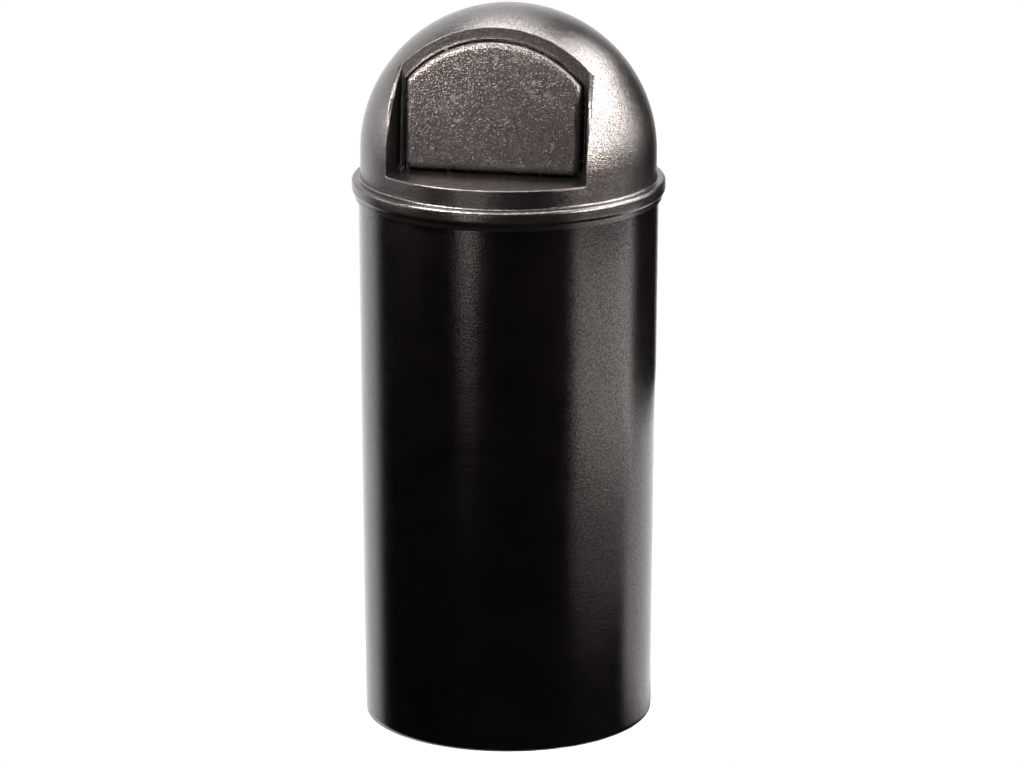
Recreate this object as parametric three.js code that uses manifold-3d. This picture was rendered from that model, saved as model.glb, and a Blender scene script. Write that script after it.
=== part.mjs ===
// Dome top waste receptacle: a round container, a domed lid that lifts off it, and a sprung
// push door in an arched recess of the dome. Millimetres, +Z up, origin at the bottom centre.
// The door faces -Y.
import * as THREE from 'three';
import { mergeVertices } from 'three/addons/utils/BufferGeometryUtils.js';
import Module from 'manifold-3d';

const wasm = await Module();
wasm.setup();

// ---- Driving dimensions -------------------------------------------------------------------

// Container
const RIM_HEIGHT = 809.1;          // top of the container's rim, where the lid sits
const RIM_RADIUS = 219.0;          // outside, at the rim
const BODY_TAPER = 6.2;            // how much less the outside radius is at the floor
const CONTAINER_WALL = 4.5;
const RIM_BEAD_WIDTH = 7;          // the rim is thicker, inwards
const RIM_BEAD_DEPTH = 10;
const BASE_ROUND = 7;              // outer edge at the floor
const FOOT_WIDTH = 14;             // flat ring that it stands on
const FOOT_RISE = 10;              // how far the base is raised inside the ring
const BASE_THICKNESS = 5;
const BASE_FILLET = 12;            // inside, between wall and base

// Lid
const LID_WALL = 4;
const DOME_INSET = 3.1;            // outside of the dome, inside the container's rim radius
const DOME_RISE = 214;             // from the dome's centre to its top
const DOME_COLLAR = 39.3;          // upright part of the dome below its centre
const COLLAR_FILLET = 3;           // between the collar and the flange
const SKIRT_PROUD = 9.6;           // band round the rim, outside the rim's radius: 18 in across
const SKIRT_DROP = 29.2;           // band height, from the flange's top to its lower edge
const SKIRT_ROUND = 5;             // upper outer edge of the band
const SKIRT_LIP_HEIGHT = 7;        // thick lower lip that closes in on the container
const SKIRT_LIP_PROUD = 1.2;       // what the lip's lower edge adds to its inside radius
const SKIRT_CLEARANCE = 0.3;       // lip to container, on the radius

// Recess in the dome
const FACE_DISTANCE = 104;         // dome's centre to the flat face, square to the face
const FACE_TILT = THREE.MathUtils.degToRad(6.4);
const FACE_HALF_WIDTH = 138;
const SIDE_DRAFT = THREE.MathUtils.degToRad(8);
const SHELF_DROP = 10.8;           // shelf below the dome's centre
const SHELF_LIP_DEPTH = 14;        // down-turned lip at the back of the shelf
const ARCH_MARGIN = 17;            // opening's arched top, below the edge of the face
const SIDE_MARGIN = 7;             // opening's sides, inside those of the face
const BEAD_WIDTH = 3;
const BEAD_HEIGHT = 1.5;
const BEAD_FOOT_GAP = 6;           // bead's lower ends above the shelf

// Door
const DOOR_GAP = 3;                // opening edge to the raised panel
const DOOR_OVERLAP = 4;            // flange behind the arch of the opening
const DOOR_SIDE_OVERLAP = 6;       // flange behind the sides and the shelf lip
const DOOR_PROUD = 17;             // panel in front of the flat face
const DOOR_SHOULDER = 9;
const DOOR_SHELL = 2.5;
const BACK_PLATE = 2;
const BUMPER_THICKNESS = 1.4;
const BUMPER_LENGTH = 14;
const BUMPER_WIDTH = 4.5;
const BUMPER_HEIGHTS = { lower: -14, upper: 45 };
const SIDE_RIVET_HEIGHTS = { lower: 0, upper: 82 };
const FOOT_RIVET_X = 68;
const ARCH_RIVET_X = 75;

// Hinge
const ROD_RADIUS = 3;
const ROD_OVERHANG = 3;            // rod end beyond the bracket
const KNUCKLE_WALL = 1.7;
const LEAF_HALF_WIDTH = 25;
const LEAF_LENGTH = 26;
const LEAF_NOTCH_HALF_WIDTH = 8;
const LEAF_RIVET_X = { left: -16, middle: 0, right: 16 };
const LEAF_RIVET_MARGIN = 6;       // rivets above the leaf's lower edge
const SPRING_TURNS = 7;
const SPRING_WIRE = 1.6;
const SPRING_TURN_GAP = 0.5;
const SPRING_ARM = 36;
const SPRING_STEPS = 8;            // points in a turn
const BRACKET_STEEL = 2;
const BRACKET_REACH = 34;          // bracket foot, measured along X from its ear
const BRACKET_FOOT_WIDTH = 8.5;
const EAR_MARGIN = 4.8;            // ear round the rod's centre
const SCREW_RADIUS = 1.9;
const SCREW_HEAD_RADIUS = 3.5;
const SCREW_HEAD_HEIGHT = 2.4;
const SCREW_THREAD = 5.5;          // length inside the boss
const BOSS_RADIUS = 4.4;
const BOSS_HEIGHT = 5;
const SCREW_OFFSETS = [12, 28];    // screws along X from the bracket's ear
const RIVET_RADIUS = 1.6;
const RIVET_HEAD_RADIUS = 2.9;
const RIVET_HEAD_HEIGHT = 0.9;
const NUT_RADIUS = 4.5;
const NUT_THICKNESS = 1.5;

// Clearances
const SEAT = 0.3;                  // between pieces that rest on each other
const RUNNING = 0.3;               // round pins in their holes, on the radius

// Roundness
const ROUND_SEGMENTS = 64;
const DOME_RINGS = 12;
const DOOR_ARC_STEPS = 14;
const ARC_STEPS = 4;
const SMALL_SEGMENTS = 12;

// ---- Derived sizes ------------------------------------------------------------------------

const BASE_RADIUS = RIM_RADIUS - BODY_TAPER;
const DOME_RADIUS = RIM_RADIUS - DOME_INSET;
const SKIRT_RADIUS = RIM_RADIUS + SKIRT_PROUD;
const FLANGE_UNDERSIDE = RIM_HEIGHT + SEAT;
const FLANGE_TOP = FLANGE_UNDERSIDE + LID_WALL;
const DOME_CENTRE = FLANGE_TOP + DOME_COLLAR;
const SKIRT_BOTTOM = FLANGE_TOP - SKIRT_DROP;
const LIP_RADIUS = RIM_RADIUS + SKIRT_CLEARANCE;

// Depths are measured outwards from the flat face, so what lies behind it is negative.
const FACE_BACK = -LID_WALL;
const FLANGE_FRONT = FACE_BACK - SEAT - BUMPER_THICKNESS - SEAT;
const FLANGE_BACK = FLANGE_FRONT - DOOR_SHELL;
const PLATE_FRONT = FLANGE_BACK - SEAT;
const PLATE_BACK = PLATE_FRONT - BACK_PLATE;
const LEAF_FRONT = PLATE_BACK - SEAT;
const KNUCKLE_RADIUS = ROD_RADIUS + RUNNING + KNUCKLE_WALL;
const AXIS_DEPTH = LEAF_FRONT - KNUCKLE_RADIUS;
const BOSS_END = FACE_BACK - BOSS_HEIGHT;
const BRACKET_FRONT = BOSS_END - SEAT;
const BRACKET_BACK = BRACKET_FRONT - BRACKET_STEEL;

// Heights in the face are measured along it, from the foot of the dome centre's perpendicular.
const FACE_FOOT = (-SHELF_DROP - FACE_DISTANCE * Math.sin(FACE_TILT)) / Math.cos(FACE_TILT);
const ARCH_RADIUS = Math.sqrt(Math.min(DOME_RADIUS, DOME_RISE) ** 2 - FACE_DISTANCE ** 2);
const OPENING = {
  radius: ARCH_RADIUS - ARCH_MARGIN,
  half: FACE_HALF_WIDTH - SIDE_MARGIN,
  foot: FACE_FOOT,
};
const FLANGE = {
  radius: OPENING.radius + DOOR_OVERLAP,
  half: OPENING.half + DOOR_SIDE_OVERLAP,
  foot: OPENING.foot - DOOR_SIDE_OVERLAP,
};
const AXIS_HEIGHT = FLANGE.radius + 1.5;

// Along the rod
const SPRING_PITCH = SPRING_WIRE + SPRING_TURN_GAP;
const SPRING_LENGTH = SPRING_TURNS * SPRING_PITCH;
const SPRING_START = LEAF_HALF_WIDTH + SPRING_WIRE;
const SPRING_RADIUS = ROD_RADIUS + RUNNING + SPRING_WIRE / 2;    // to the wire's centre
const EAR_INNER = SPRING_START + SPRING_LENGTH + SPRING_WIRE;
const EAR_OUTER = EAR_INNER + BRACKET_STEEL;
const ROD_HALF_LENGTH = EAR_OUTER + SEAT + NUT_THICKNESS + ROD_OVERHANG;

// ---- Materials ----------------------------------------------------------------------------

const pebbledBlack = () => new THREE.MeshStandardMaterial({ color: 0x0d0c0c, roughness: 0.42 });
const smoothBlack = () => new THREE.MeshStandardMaterial({ color: 0x0b0a0a, roughness: 0.28 });
const steel = () => new THREE.MeshStandardMaterial({ color: 0xa8a9ab, roughness: 0.35, metalness: 1 });
const rubber = () => new THREE.MeshStandardMaterial({ color: 0x161616, roughness: 0.85 });

// ---- Solids -------------------------------------------------------------------------------

// A closed geometry as a manifold solid, with shared vertices merged and flat triangles dropped.
function solid(geometry) {
  const bare = geometry.clone();
  bare.deleteAttribute('normal');
  bare.deleteAttribute('uv');
  const merged = mergeVertices(bare, 1e-4);
  const index = merged.index.array;
  const triangles = [];
  for (let i = 0; i < index.length; i += 3) {
    const [a, b, c] = [index[i], index[i + 1], index[i + 2]];
    if (a !== b && b !== c && c !== a) triangles.push(a, b, c);
  }
  return new wasm.Manifold(new wasm.Mesh({
    numProp: 3,
    vertProperties: new Float32Array(merged.attributes.position.array),
    triVerts: new Uint32Array(triangles),
  }));
}

function geometryOf(manifold) {
  const mesh = manifold.getMesh();
  const geometry = new THREE.BufferGeometry();
  geometry.setAttribute('position', new THREE.BufferAttribute(mesh.vertProperties, 3));
  geometry.setIndex(new THREE.BufferAttribute(mesh.triVerts, 1));
  geometry.computeVertexNormals();
  return geometry;
}

function piece(name, geometry, material) {
  const mesh = new THREE.Mesh(geometry, material);
  mesh.name = name;
  return mesh;
}

// Points of a round corner, from one angle to another, both in quarter turns.
function corner(centreR, centreZ, radius, from, to, steps = ARC_STEPS) {
  const points = [];
  for (let i = 0; i <= steps; i += 1) {
    const angle = (from + (to - from) * i / steps) * Math.PI / 2;
    points.push([centreR + radius * Math.cos(angle), centreZ + radius * Math.sin(angle)]);
  }
  return points;
}

// A profile of [radius, height] pairs turned about +Z. It runs up the outside and down the
// inside, so that the faces point out.
function turned(profile, segments = ROUND_SEGMENTS) {
  const points = profile.map(([r, z]) => new THREE.Vector2(r, z));
  return new THREE.LatheGeometry(points, segments).rotateX(Math.PI / 2);
}

// A cylinder along X between two places.
function barX(radius, from, to, segments = SMALL_SEGMENTS) {
  const bar = new THREE.CylinderGeometry(radius, radius, Math.abs(to - from), segments);
  return bar.rotateZ(Math.PI / 2).translate((from + to) / 2, 0, 0);
}

function box(x0, x1, y0, y1, z0, z1) {
  const block = new THREE.BoxGeometry(x1 - x0, y1 - y0, z1 - z0);
  return block.translate((x0 + x1) / 2, (y0 + y1) / 2, (z0 + z1) / 2);
}

// ---- Coordinates of the flat face -----------------------------------------------------------

// The face's frame: X to the right, Z up along the face, and -Y out of it. Its origin is the
// dome's centre, so a depth of zero lies at -FACE_DISTANCE along Y.
const faceMatrix = new THREE.Matrix4().makeRotationX(-FACE_TILT).setPosition(0, 0, DOME_CENTRE);
const yAt = (depth) => -(FACE_DISTANCE + depth);

// Arched outline: a flat foot, two upright sides and a round top about the dome's centre.
function archShape({ radius, half, foot }) {
  const springing = Math.acos(half / radius);
  const shape = new THREE.Shape();
  shape.moveTo(-half, foot);
  shape.lineTo(half, foot);
  shape.lineTo(half, radius * Math.sin(springing));
  shape.absarc(0, 0, radius, springing, Math.PI - springing, false);
  shape.closePath();
  return shape;
}

const shrunk = ({ radius, half, foot }, by) => ({ radius: radius - by, half: half - by, foot: foot + by });

// A shape drawn in the face, extruded between two depths.
function slab(shape, from, to, curveSegments = 24) {
  const geometry = new THREE.ExtrudeGeometry(shape, {
    depth: Math.abs(to - from), bevelEnabled: false, curveSegments,
  });
  return geometry.rotateX(Math.PI / 2).translate(0, yAt(Math.min(from, to)), 0);
}

// A turned fastener whose axis is square to the face: [radius, depth] pairs from its inner end
// to its outer end.
function studAt(x, height, profile, segments = SMALL_SEGMENTS) {
  return turned(profile, segments).rotateX(Math.PI / 2).translate(x, -FACE_DISTANCE, height);
}

// ---- Container ----------------------------------------------------------------------------

function containerBody() {
  const footOuter = BASE_RADIUS - BASE_ROUND;
  const footInner = footOuter - FOOT_WIDTH;
  const baseTop = FOOT_RISE + BASE_THICKNESS;
  const radiusAt = (z) => BASE_RADIUS + (RIM_RADIUS - BASE_RADIUS) * z / RIM_HEIGHT;
  const edge = RIM_BEAD_WIDTH / 4;
  const beadInner = RIM_RADIUS - RIM_BEAD_WIDTH;
  const beadFoot = RIM_HEIGHT - RIM_BEAD_DEPTH;
  const wallFoot = baseTop + BASE_FILLET;
  const profile = [
    [0, FOOT_RISE],
    [footInner - FOOT_RISE / 2, FOOT_RISE],
    [footInner, 0],
    ...corner(footOuter, BASE_ROUND, BASE_ROUND, -1, 0),
    [RIM_RADIUS, RIM_HEIGHT - edge],
    [RIM_RADIUS - edge, RIM_HEIGHT],
    [beadInner + edge, RIM_HEIGHT],
    [beadInner, RIM_HEIGHT - edge],
    [beadInner, beadFoot],
    [radiusAt(beadFoot - RIM_BEAD_WIDTH) - CONTAINER_WALL, beadFoot - RIM_BEAD_WIDTH],
    ...corner(radiusAt(wallFoot) - CONTAINER_WALL - BASE_FILLET, wallFoot, BASE_FILLET, 0, -1),
    [0, baseTop],
  ];
  return piece('container_body', turned(profile), smoothBlack());
}

// ---- Lid ------------------------------------------------------------------------------------

function domeArc(radius, rise, rings) {
  const points = [];
  for (let i = 0; i <= rings; i += 1) {
    const angle = i / rings * Math.PI / 2;
    points.push([i === rings ? 0 : radius * Math.cos(angle), DOME_CENTRE + rise * Math.sin(angle)]);
  }
  return points;
}

function lidOutside() {
  const bandRound = corner(SKIRT_RADIUS - SKIRT_ROUND, FLANGE_TOP - SKIRT_ROUND, SKIRT_ROUND, 0, 1);
  const lipTop = SKIRT_BOTTOM + SKIRT_LIP_HEIGHT;
  const bandTaper = SKIRT_RADIUS - LIP_RADIUS - SKIRT_LIP_PROUD;
  const taper = corner(SKIRT_RADIUS - bandTaper, lipTop + bandTaper, bandTaper, -0.72, 0);
  return turned([
    [0, SKIRT_BOTTOM],
    [LIP_RADIUS + SKIRT_LIP_PROUD, SKIRT_BOTTOM],
    ...taper,
    ...bandRound,
    ...corner(DOME_RADIUS + COLLAR_FILLET, FLANGE_TOP + COLLAR_FILLET, COLLAR_FILLET, -1, -2),
    ...domeArc(DOME_RADIUS, DOME_RISE, DOME_RINGS),
  ]);
}

function lidInside() {
  const lipTop = SKIRT_BOTTOM + SKIRT_LIP_HEIGHT;
  const cavity = SKIRT_RADIUS - LID_WALL;
  const mouth = SKIRT_BOTTOM - LID_WALL;
  return turned([
    [0, mouth],
    [LIP_RADIUS, mouth],
    [LIP_RADIUS, lipTop],
    [cavity, lipTop + (cavity - LIP_RADIUS)],
    [cavity, FLANGE_UNDERSIDE],
    [DOME_RADIUS - LID_WALL, FLANGE_UNDERSIDE],
    ...domeArc(DOME_RADIUS - LID_WALL, DOME_RISE - LID_WALL, DOME_RINGS),
  ]);
}

// The space of the recess: behind it the tilted face, below it the level shelf, and drafted
// sides that open outwards. Growing it by the wall gives the inner side of the same walls.
function recess(grow) {
  const faceY = (z) => -(FACE_DISTANCE - grow - z * Math.sin(FACE_TILT)) / Math.cos(FACE_TILT);
  const front = -(DOME_RADIUS + DOME_COLLAR);
  const block = new THREE.BoxGeometry(2, 2, 2);
  const position = block.attributes.position;
  for (let i = 0; i < position.count; i += 1) {
    const z = position.getZ(i) > 0 ? DOME_RISE + DOME_COLLAR : -SHELF_DROP - grow;
    const y = position.getY(i) > 0 ? faceY(z) : front;
    const half = FACE_HALF_WIDTH + grow + (faceY(z) - y) * Math.tan(SIDE_DRAFT);
    position.setXYZ(i, Math.sign(position.getX(i)) * half, y, DOME_CENTRE + z);
  }
  return block;
}

// Places of the bracket screws, on an arc between the door's flange and the dome.
const BOSS_ARC = FLANGE.radius + DOOR_GAP + BOSS_RADIUS;
const SCREW_PLACES = SCREW_OFFSETS.map((offset) => {
  const x = EAR_INNER + offset;
  return [x, Math.sqrt(BOSS_ARC ** 2 - x ** 2)];
});

function domeLid() {
  const inFace = (geometry) => solid(geometry.applyMatrix4(faceMatrix));
  const hollow = solid(lidInside()).subtract(solid(recess(LID_WALL)));
  let lid = solid(lidOutside()).subtract(solid(recess(0))).subtract(hollow);

  const lipHalf = FACE_HALF_WIDTH + LID_WALL / 2;
  const lipTop = FACE_FOOT - LID_WALL / 4;
  lid = lid.add(inFace(box(-lipHalf, lipHalf, yAt(0), yAt(FACE_BACK), lipTop - SHELF_LIP_DEPTH, lipTop)));
  const bead = { ...shrunk(OPENING, -BEAD_WIDTH), foot: OPENING.foot + BEAD_FOOT_GAP };
  lid = lid.add(inFace(slab(archShape(bead), FACE_BACK / 2, BEAD_HEIGHT)));

  const pilot = SCREW_RADIUS + RUNNING;
  const pilotEnd = BOSS_END + SCREW_THREAD + RUNNING;
  for (const side of [-1, 1]) {
    for (const [x, height] of SCREW_PLACES) {
      lid = lid.add(inFace(studAt(side * x, height, [
        [0, BOSS_END], [BOSS_RADIUS, BOSS_END], [BOSS_RADIUS, FACE_BACK / 2], [0, FACE_BACK / 2],
      ])));
      lid = lid.subtract(inFace(studAt(side * x, height, [
        [0, BOSS_END - 1], [pilot, BOSS_END - 1], [pilot, pilotEnd], [0, pilotEnd],
      ])));
    }
  }
  lid = lid.subtract(inFace(slab(archShape(OPENING), FACE_BACK - 1, BEAD_HEIGHT + 1)));
  return piece('dome_lid', geometryOf(lid), pebbledBlack());
}

// ---- Door -----------------------------------------------------------------------------------

// Outline points of an arch, with the same count for every size.
function archPoints({ radius, half, foot }) {
  const springing = Math.acos(half / radius);
  const points = [new THREE.Vector2(-half, foot), new THREE.Vector2(half, foot)];
  for (let i = 0; i <= DOOR_ARC_STEPS; i += 1) {
    const angle = springing + (Math.PI - 2 * springing) * i / DOOR_ARC_STEPS;
    points.push(new THREE.Vector2(radius * Math.cos(angle), radius * Math.sin(angle)));
  }
  return points;
}

// A closed skin through rings of { outline, depth }, with the first and last ring filled.
function lofted(rings) {
  const vertices = [];
  const triangles = [];
  for (const { outline, depth } of rings) {
    for (const point of archPoints(outline)) vertices.push(point.x, yAt(depth), point.y);
  }
  const count = vertices.length / 3 / rings.length;
  for (let ring = 0; ring < rings.length - 1; ring += 1) {
    for (let i = 0; i < count; i += 1) {
      const [a, b] = [ring * count + i, ring * count + (i + 1) % count];
      triangles.push(a, a + count, b, b, a + count, b + count);
    }
  }
  const last = (rings.length - 1) * count;
  for (const [a, b, c] of THREE.ShapeUtils.triangulateShape(archPoints(rings[0].outline), [])) {
    triangles.push(a, b, c, last + a, last + c, last + b);
  }
  const geometry = new THREE.BufferGeometry();
  geometry.setAttribute('position', new THREE.Float32BufferAttribute(vertices, 3));
  geometry.setIndex(triangles);
  geometry.computeVertexNormals();
  return geometry;
}

const PANEL = shrunk(OPENING, DOOR_GAP);

// Rings of a rounded shoulder, from the flat front down to the upright side.
function shoulder(outline, radius, front) {
  const rings = [];
  for (let i = 0; i <= ARC_STEPS; i += 1) {
    const angle = i / ARC_STEPS * Math.PI / 2;
    rings.push({
      outline: shrunk(outline, radius * (1 - Math.sin(angle))),
      depth: front - radius * (1 - Math.cos(angle)),
    });
  }
  return rings;
}

// Rivets through the middle of what the door's flange adds to the panel.
function flangeRivetPlaces() {
  const x = (FLANGE.half + PANEL.half) / 2;
  const arc = (FLANGE.radius + PANEL.radius) / 2;
  return {
    lower: [x, SIDE_RIVET_HEIGHTS.lower],
    upper: [x, SIDE_RIVET_HEIGHTS.upper],
    foot: [FOOT_RIVET_X, (FLANGE.foot + PANEL.foot) / 2],
    arch: [ARCH_RIVET_X, Math.sqrt(arc ** 2 - ARCH_RIVET_X ** 2)],
  };
}

function rivetHole(x, height) {
  const radius = RIVET_RADIUS + RUNNING;
  const [back, front] = [LEAF_FRONT - 2 * KNUCKLE_WALL, FLANGE_FRONT + 1];
  return solid(studAt(x, height, [[0, back], [radius, back], [radius, front], [0, front]]));
}

// A rivet with a head at each end, whose heads close on the faces at two depths.
function rivet(name, x, height, back, front) {
  const [low, high] = [back - SEAT, front + SEAT];
  const edge = RIVET_HEAD_RADIUS * 0.7;
  return piece(name, studAt(x, height, [
    [0, low - RIVET_HEAD_HEIGHT],
    [edge, low - RIVET_HEAD_HEIGHT],
    [RIVET_HEAD_RADIUS, low],
    [RIVET_RADIUS, low],
    [RIVET_RADIUS, high],
    [RIVET_HEAD_RADIUS, high],
    [edge, high + RIVET_HEAD_HEIGHT],
    [0, high + RIVET_HEAD_HEIGHT],
  ]), steel());
}

function pushDoor() {
  const door = new THREE.Group();
  const inner = shrunk(PANEL, DOOR_SHELL);
  const outside = shoulder(PANEL, DOOR_SHOULDER, DOOR_PROUD);
  const inside = shoulder(inner, DOOR_SHOULDER - DOOR_SHELL, DOOR_PROUD - DOOR_SHELL);
  let panel = solid(lofted([
    ...outside,
    { outline: PANEL, depth: FLANGE_FRONT },
    { outline: FLANGE, depth: FLANGE_FRONT },
    { outline: FLANGE, depth: FLANGE_BACK },
    { outline: inner, depth: FLANGE_BACK },
    ...inside.reverse(),
  ]));
  let plate = solid(slab(archShape(FLANGE), PLATE_BACK, PLATE_FRONT));
  for (const [place, [x, height]] of Object.entries(flangeRivetPlaces())) {
    for (const [side, sign] of [['left', -1], ['right', 1]]) {
      const hole = rivetHole(sign * x, height);
      panel = panel.subtract(hole);
      plate = plate.subtract(hole);
      door.add(rivet(`door_rivet_${place}_${side}`, sign * x, height, PLATE_BACK, FLANGE_FRONT));
    }
  }
  let leaf = hingeLeaf();
  const leafRivetHeight = AXIS_HEIGHT - LEAF_LENGTH + LEAF_RIVET_MARGIN;
  for (const [place, x] of Object.entries(LEAF_RIVET_X)) {
    const hole = rivetHole(x, leafRivetHeight);
    plate = plate.subtract(hole);
    leaf = leaf.subtract(hole);
    door.add(rivet(`leaf_rivet_${place}`, x, leafRivetHeight, LEAF_FRONT - KNUCKLE_WALL, PLATE_FRONT));
  }
  door.add(
    piece('push_door', geometryOf(panel), pebbledBlack()),
    piece('door_back_plate', geometryOf(plate), smoothBlack()),
    piece('hinge_leaf', geometryOf(leaf), steel()),
    ...bumpers(),
  );
  return door;
}

// Upright rubber pads with round ends, between the door's flange and the back of the face.
function bumpers() {
  const radius = BUMPER_WIDTH / 2;
  const reach = BUMPER_LENGTH / 2 - radius;
  const x = (FLANGE.half + OPENING.half) / 2;
  const pads = [];
  for (const [place, height] of Object.entries(BUMPER_HEIGHTS)) {
    for (const [side, sign] of [['left', -1], ['right', 1]]) {
      const shape = new THREE.Shape();
      shape.absarc(sign * x, height + reach, radius, 0, Math.PI, false);
      shape.absarc(sign * x, height - reach, radius, Math.PI, Math.PI * 2, false);
      shape.closePath();
      const pad = slab(shape, FLANGE_FRONT + SEAT, FACE_BACK - SEAT, 6);
      pads.push(piece(`bumper_${place}_${side}`, pad, rubber()));
    }
  }
  return pads;
}

// ---- Hinge ----------------------------------------------------------------------------------

const atAxis = (geometry) => geometry.translate(0, yAt(AXIS_DEPTH), AXIS_HEIGHT);

function hingeLeaf() {
  const back = LEAF_FRONT - KNUCKLE_WALL;
  const foot = AXIS_HEIGHT - LEAF_LENGTH;
  const notch = LEAF_NOTCH_HALF_WIDTH;
  let leaf = solid(box(-LEAF_HALF_WIDTH, LEAF_HALF_WIDTH, yAt(LEAF_FRONT), yAt(back), foot, AXIS_HEIGHT));
  const space = AXIS_HEIGHT - KNUCKLE_RADIUS - RUNNING;
  leaf = leaf.subtract(solid(box(-notch, notch, yAt(LEAF_FRONT + 1), yAt(back - 1), space, AXIS_HEIGHT + 1)));
  for (const sign of [-1, 1]) {
    leaf = leaf.add(solid(atAxis(barX(KNUCKLE_RADIUS, sign * notch, sign * LEAF_HALF_WIDTH, 24))));
  }
  const bore = barX(ROD_RADIUS + RUNNING, -LEAF_HALF_WIDTH - 1, LEAF_HALF_WIDTH + 1);
  return leaf.subtract(solid(atAxis(bore)));
}

// A spring round the rod: a short arm up to the back of the face, the turns, and a long arm
// down the back of the door.
function torsionSpring(name, side) {
  const points = [];
  const wire = SPRING_WIRE / 2;
  const at = (x, depth, height) => points.push(new THREE.Vector3(side * x, yAt(depth), height));
  at(SPRING_START + SPRING_LENGTH, FACE_BACK - wire, AXIS_HEIGHT + SPRING_RADIUS * 0.8);
  const steps = SPRING_TURNS * SPRING_STEPS;
  for (let i = 0; i <= steps; i += 1) {
    const turn = -2 * Math.PI * i / SPRING_STEPS;
    at(
      SPRING_START + SPRING_LENGTH * (1 - i / steps),
      AXIS_DEPTH + SPRING_RADIUS * Math.cos(turn),
      AXIS_HEIGHT + SPRING_RADIUS * Math.sin(turn),
    );
  }
  const armDepth = PLATE_BACK - SEAT - wire;
  at(SPRING_START, (AXIS_DEPTH + SPRING_RADIUS + armDepth) / 2, AXIS_HEIGHT - SPRING_ARM / 2);
  at(SPRING_START, armDepth, AXIS_HEIGHT - SPRING_ARM);
  const wireShape = new THREE.Shape().absarc(0, 0, wire, 0, Math.PI * 2, false);
  const coil = new THREE.ExtrudeGeometry(wireShape, {
    steps: points.length * 1.2 | 0, curveSegments: 3, bevelEnabled: false,
    extrudePath: new THREE.CatmullRomCurve3(points, false, 'centripetal'),
  });
  return piece(name, coil, steel());
}

// A steel foot on two bosses of the lid, with an ear turned back round the rod.
function hingeBracket(name, side) {
  const [inner, outer] = [BOSS_ARC - BRACKET_FOOT_WIDTH / 2, BOSS_ARC + BRACKET_FOOT_WIDTH / 2];
  const from = Math.acos((EAR_INNER + BRACKET_REACH) / BOSS_ARC);
  const to = Math.acos(EAR_OUTER / BOSS_ARC);
  const shape = new THREE.Shape();
  shape.absarc(0, 0, outer, from, to, false);
  shape.absarc(0, 0, inner, to, from, true);
  shape.closePath();
  let bracket = solid(slab(shape, BRACKET_BACK, BRACKET_FRONT, 6));
  const earBack = AXIS_DEPTH - EAR_MARGIN;
  const [low, high] = [AXIS_HEIGHT - EAR_MARGIN, AXIS_HEIGHT + EAR_MARGIN];
  bracket = bracket.add(solid(box(EAR_INNER, EAR_OUTER, yAt(BRACKET_FRONT), yAt(earBack), low, high)));
  bracket = bracket.subtract(solid(atAxis(barX(ROD_RADIUS + RUNNING, EAR_INNER - 1, EAR_OUTER + 1))));
  const hole = SCREW_RADIUS + RUNNING;
  for (const [x, height] of SCREW_PLACES) {
    bracket = bracket.subtract(solid(studAt(x, height, [
      [0, BRACKET_BACK - 1], [hole, BRACKET_BACK - 1], [hole, BRACKET_FRONT + 1], [0, BRACKET_FRONT + 1],
    ])));
  }
  return piece(name, geometryOf(side < 0 ? bracket.mirror([1, 0, 0]) : bracket), steel());
}

function bracketScrew(name, x, height) {
  const seat = BRACKET_BACK - SEAT;
  return piece(name, studAt(x, height, [
    [0, seat - SCREW_HEAD_HEIGHT],
    [SCREW_HEAD_RADIUS * 0.7, seat - SCREW_HEAD_HEIGHT],
    [SCREW_HEAD_RADIUS, seat - SCREW_HEAD_HEIGHT / 2],
    [SCREW_HEAD_RADIUS, seat],
    [SCREW_RADIUS, seat],
    [SCREW_RADIUS, BOSS_END + SCREW_THREAD],
    [0, BOSS_END + SCREW_THREAD],
  ]), steel());
}

function pushNut(name, side) {
  const bore = ROD_RADIUS + RUNNING;
  const ring = turned([
    [bore, 0], [NUT_RADIUS, 0], [NUT_RADIUS, NUT_THICKNESS], [bore, NUT_THICKNESS], [bore, 0],
  ], SMALL_SEGMENTS).rotateY(side * Math.PI / 2);
  return piece(name, atAxis(ring.translate(side * (EAR_OUTER + SEAT), 0, 0)), steel());
}

function hinge() {
  const group = new THREE.Group();
  const rod = atAxis(barX(ROD_RADIUS, -ROD_HALF_LENGTH, ROD_HALF_LENGTH));
  group.add(piece('hinge_rod', rod, steel()));
  for (const [side, sign] of [['left', -1], ['right', 1]]) {
    group.add(
      torsionSpring(`door_spring_${side}`, sign),
      hingeBracket(`hinge_bracket_${side}`, sign),
      pushNut(`push_nut_${side}`, sign),
    );
    SCREW_PLACES.forEach(([x, height], i) => {
      const place = i === 0 ? 'inner' : 'outer';
      group.add(bracketScrew(`bracket_screw_${place}_${side}`, sign * x, height));
    });
  }
  return group;
}

// ---- Assembly -------------------------------------------------------------------------------

const receptacle = new THREE.Group();
const face = new THREE.Group();
face.applyMatrix4(faceMatrix);
face.add(pushDoor(), hinge());
receptacle.add(containerBody(), domeLid(), face);

export default receptacle;
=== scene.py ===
"""Dome top waste receptacle: the looks of its moulded lid, push door and container."""
import math

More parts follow.
